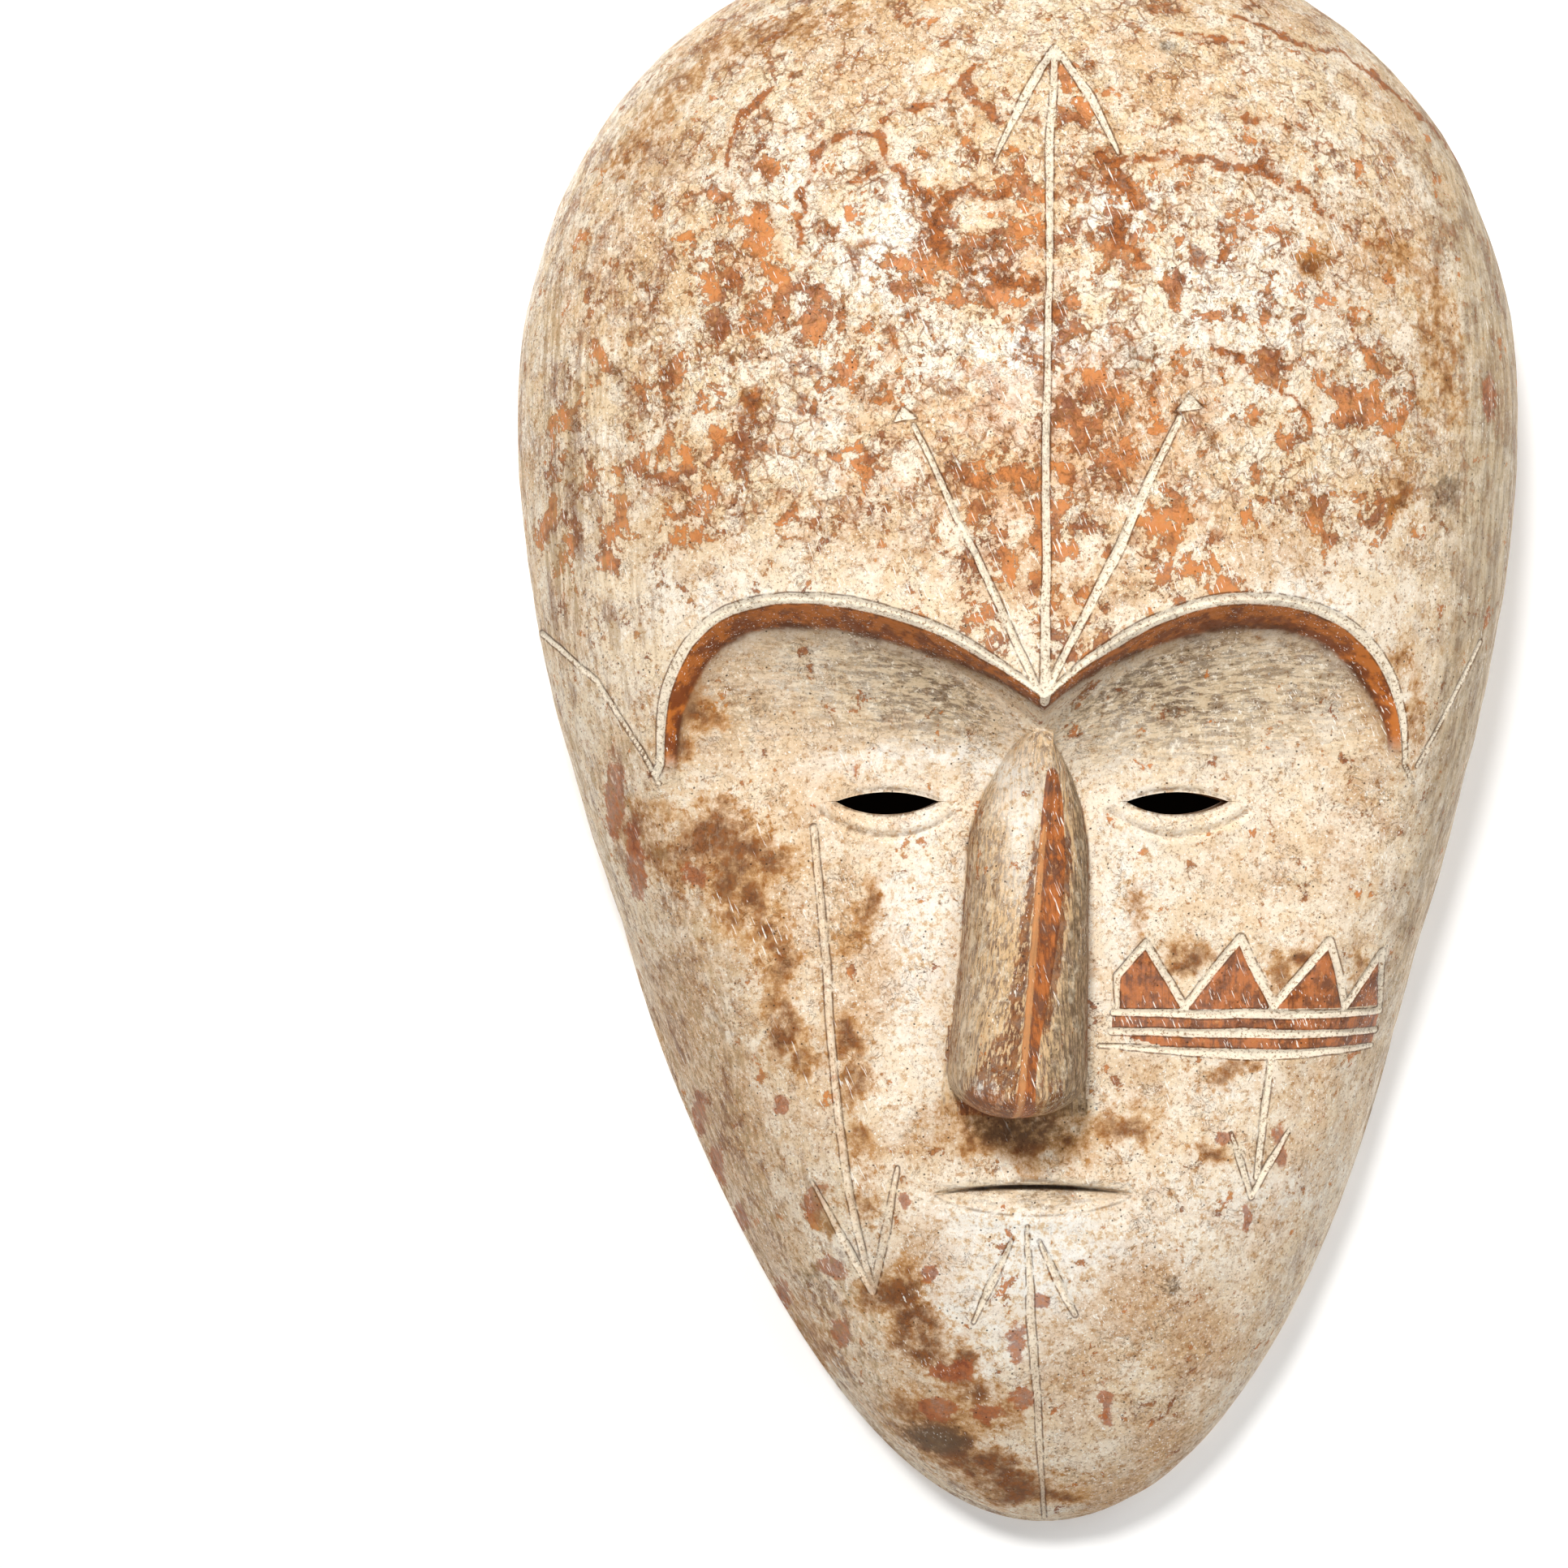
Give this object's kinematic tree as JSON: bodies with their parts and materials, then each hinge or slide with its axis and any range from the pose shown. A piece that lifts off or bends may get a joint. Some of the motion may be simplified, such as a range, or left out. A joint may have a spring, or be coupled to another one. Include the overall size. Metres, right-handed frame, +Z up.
{
  "type": "carved wooden face mask",
  "caption": "Egg-shaped carved wooden face mask with brow arches, a long ridged nose and a hollow back, hung by a hinged D-ring.",
  "frame": {"origin": "the point on the wall where the hook carries the D-ring, on the wall plane that the mask's sawn back lies on", "axes": "+Z up towards the crown, +Y into the wall, so the face looks along -Y, and +X to the right as seen from the front"},
  "size_m": [0.3, 0.1266, 0.4873],
  "materials": {
    "whitened_wood": "worn white kaolin over brown stain, matt",
    "hanger_steel": "zinc plated, satin",
    "screw_steel": "dull, worn in the slot"
  },
  "bodies": {
    "mask": {"mask_shell": "whitened_wood", "hanger_strap": "hanger_steel", "strap_screw_upper": "screw_steel", "strap_screw_lower": "screw_steel"},
    "ring": {"hanger_ring": "hanger_steel"}
  },
  "joints": [
    {"name": "ring_swing", "type": "hinge", "parent": "mask", "child": "ring", "pos_m": [0, -0.0043, -0.011], "axis": [-1, 0, 0], "range_deg": [0, 165]}
  ]
}
